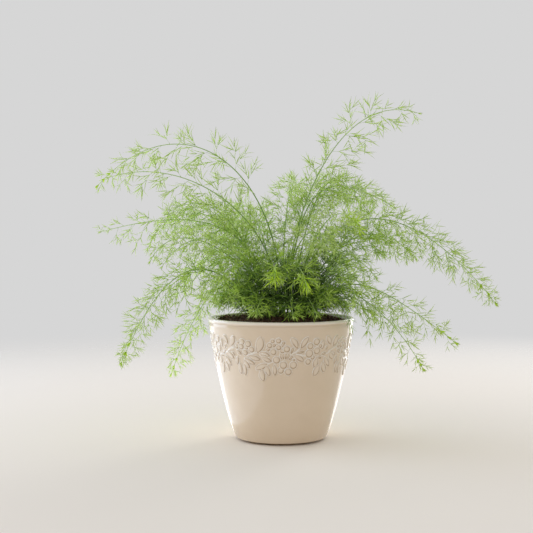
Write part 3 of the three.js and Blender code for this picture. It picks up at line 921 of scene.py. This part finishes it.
# A stem's width at its foot, for a long stem or a short one, and at its tip, how deep its
# foot is in the crown, how much its twigs stand out and lean forward, and their scales
stem_steps = 90
long_stem = 100
long_stem_width = 1.9
short_stem_width = 1.4
stem_tip_width = 0.55
stem_sunk = 1.0
twig_outward = 0.85
twig_forward = 0.55
scale_length = 2.2
for index, (name, row) in enumerate(PIECES):
    foot, toward, rise, crest, tip, reach, bare_share, spacing, age = row
    rng = np.random.default_rng(100 + index)
    plant = Greenery()
    heading = math.radians(toward)
    ahead = Vector((math.cos(heading), math.sin(heading), 0))
    foot_at = Vector((foot[0], foot[1], 0))
    foot_height = crown_top(math.hypot(*foot)) - stem_sunk
    handles = [foot_at + up * foot_height]
    handles += [foot_at + ahead * out + up * tall for out, tall in (rise, crest, tip)]
    path = [on_curve(handles, i / stem_steps) for i in range(stem_steps + 1)]
    lengths = [0.0]
    for a, b in zip(path, path[1:]):
        lengths.append(lengths[-1] + (b - a).length)
    total = lengths[-1]
    stout = long_stem_width if total > long_stem else short_stem_width
    widths = [stout - (stout - stem_tip_width) * (run / total) ** 0.7 for run in lengths]
    plant.rod(path, widths, sides=7, age=0.3, part=(0.3 * max(0.06, age - 0.5), 0.44))
    run = bare_share * total
    count = 0
    while run < total - 2:
        share = run / total
        i = min(stem_steps - 1, max(1, int(np.searchsorted(lengths, run))))
        place = path[i]
        forward = (path[i + 1] - path[i - 1]).normalized()
        side = up.cross(forward).normalized()
        over = forward.cross(side)
        turn = count * golden_angle + rng.normal(0, 0.25)
        outward = side * math.cos(turn) + over * (math.sin(turn) * 0.8)
        way = outward * twig_outward + forward * twig_forward
        past_bare = max(0, (share - bare_share) / (1 - bare_share))
        # Twigs are longest in the lower middle of the leafy part, and under an arch.
        swell = math.sin(math.pi * (0.22 + 0.75 * past_bare**0.8))
        droop = 0.84 - 0.42 * math.sin(turn) * (1 - abs(forward.z))
        length = max(3, reach * (0.1 + 0.95 * swell) * droop * rng.uniform(0.75, 1.15))
        # Needles are smaller and newer toward the tip.
        size = 1 - 0.5 * max(0, (past_bare - 0.7) / 0.3) ** 1.5
        if name in OPEN:
            size *= open_size
        newest = 0.24 * max(0, (past_bare - 0.6) / 0.4)
        twig_age = age - 0.1 + 0.1 * past_bare + newest
        grow_twig(plant, place, way, length, 1, size, twig_age, rng)
        # The small dry scale that each twig grows from
        scale_way = forward + outward * 0.5
        plant.needle(place, scale_way, side, scale_length, 0.9 - 0.4 * share, 0.25 + 0.45 * share)
        run += spacing * rng.uniform(0.75, 1.25)
        count += 1
    fan(plant, path[-1], forward, count=7, spread=6.2, slant=0.35, size=0.5, age=0.95, rng=rng)
    if name in FRESH:
        tuft(plant, path, FRESH[name], rng)
    if name in BUDDED:
        bud(plant, path, rng)
    piece = plant.mesh(f"{name}_foliage", green)
    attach(piece, "root")
    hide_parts(name)


# ---------------------------------------------------------------------------------------
# New shoots: soft bare spears that have just come up, like thin asparagus, with small
# scales pressed along them and the side twigs still folded in at the tip.

# Foot x and y on the crown, height, and how far it leans outward as a share of its height
SPEARS = [(-8, -27, 36, 0.05), (24, 0, 44, 0.24), (-22, -1, 36, 0.3)]
spear_steps = 24
spear_width = 3.6
spear_tip_width = 0.7
spear_scale_width = 1.5
for index, (x, y, tall, lean) in enumerate(SPEARS):
    rng = np.random.default_rng(300 + index)
    plant = Greenery()
    foot_at = Vector((x, y, crown_top(math.hypot(x, y)) - stem_sunk))
    outward = Vector((x, y, 0)).normalized()
    handles = [foot_at, foot_at + up * tall * 0.6, foot_at + up * (tall + 1) + outward * tall * lean]
    path = []
    for i in range(spear_steps + 1):
        t = i / spear_steps
        path.append(handles[0] * (1 - t) ** 2 + handles[1] * (2 * t * (1 - t)) + handles[2] * t * t)
    widths = [spear_width * (1 - (i / spear_steps) ** 2) + spear_tip_width for i in range(spear_steps + 1)]
    plant.rod(path, widths, sides=10, age=0.6, part=(0.24, 0.46))
    for i in range(2, spear_steps + 1):
        forward = (path[min(i + 1, spear_steps)] - path[i - 1]).normalized()
        side = forward.orthogonal()
        side.rotate(Quaternion(forward, i * golden_angle))
        grown = 2.4 + 2.2 * (i / spear_steps)
        base = path[i] + side * widths[i] * 0.42
        flat = side.cross(forward)
        plant.needle(base, forward + side * 0.3, flat, grown, spear_scale_width, 0.72)
    piece = plant.mesh(f"new_shoot_{index + 1}_spear", green)
    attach(piece, "root")
    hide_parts(f"new_shoot_{index + 1}")


# ---------------------------------------------------------------------------------------
# The studio: a pale floor that fades out, a grey surround, two tall soft windows behind to
# the left and right, two broad lights at table height whose glare runs up the pot, and a
# soft light from the upper left. These sizes are in metres.
floor_radius = 1.6
fade_from = 0.35
fade_to = 1.3
bpy.ops.mesh.primitive_circle_add(vertices=96, radius=floor_radius, fill_type="NGON", location=(0, 0, 0))
floor = bpy.context.object
floor.name = "floor"
paper, nodes, shader = new_material("pale_floor")
links = paper.node_tree.links
where = add(nodes, "ShaderNodeTexCoord").outputs["Object"]
out = add(nodes, "ShaderNodeVectorMath", {"operation": "LENGTH"}, i0=where).outputs["Value"]
fade = add(
    nodes, "ShaderNodeMapRange", {"interpolation_type": "SMOOTHSTEP"},
    Value=out, From_Min=fade_from, From_Max=fade_to,
).outputs["Result"]
shader.inputs["Base Color"].default_value = linear("#f0e9e0")
shader.inputs["Roughness"].default_value = 0.8
shader.inputs["Specular IOR Level"].default_value = 0.2
clear = add(nodes, "ShaderNodeBsdfTransparent")
faded = add(nodes, "ShaderNodeMixShader", None, i0=fade, i1=shader.outputs[0], i2=clear.outputs[0])
links.new(faded.outputs[0], nodes["Material Output"].inputs["Surface"])
floor.data.materials.append(paper)
floor.select_set(False)

scene = bpy.context.scene
scene.view_settings.view_transform = "Standard"
world = bpy.data.worlds.new("grey_surround")
world.use_nodes = True
world.node_tree.nodes["Background"].inputs["Color"].default_value = linear("#d6d6d6")
world.node_tree.nodes["Background"].inputs["Strength"].default_value = 1.0
scene.world = world


def soft_light(name, place, aim, width, height, power, colour):
    """A soft light of a width and a height in metres and a power in watts, at a place and
    aimed at another. The camera does not see it."""
    light = bpy.data.lights.new(name, "AREA")
    light.shape = "RECTANGLE"
    light.size = width
    light.size_y = height
    light.energy = power
    light.color = linear(colour)[:3]
    lamp = bpy.data.objects.new(name, light)
    lamp.location = place
    lamp.rotation_euler = (Vector(aim) - Vector(place)).to_track_quat("-Z", "Y").to_euler()
    lamp.visible_camera = False
    scene.collection.objects.link(lamp)
    return lamp


soft_light("window_left", (-1.25, 0.55, 0.5), (0, 0, 0.1), 1.1, 1.2, 9.5, "#d8e7ff")
soft_light("window_right", (0.75, 1.2, 0.5), (0, 0, 0.1), 0.45, 1.2, 6, "#ffffff")
soft_light("table_glare_left", (-0.47, 0.3, 0.004), (-0.47, 0.3, 1), 0.8, 0.9, 1.6, "#d8e7ff")
glare = soft_light("table_glare_back", (0, 0.667, 0.004), (0, 0.667, 1), 1.0, 1.0, 3.3, "#ffffff")
glare.rotation_euler = (math.pi, 0, math.radians(45))
soft_light("upper_left", (-0.9, -0.6, 1.3), (0, 0, 0.15), 0.9, 0.9, 2, "#fffaf2")

# The camera stands in front of the pot, a little above its rim, and looks slightly down.
looks_down = 1.87
camera = bpy.data.cameras.new("camera")
camera.sensor_width = 36.0
camera.lens = 77.7
eye = bpy.data.objects.new("camera", camera)
eye.location = (-0.015, -1.183, 0.216)
eye.rotation_euler = (math.radians(90 - looks_down), 0, 0)
scene.collection.objects.link(eye)
scene.camera = eye
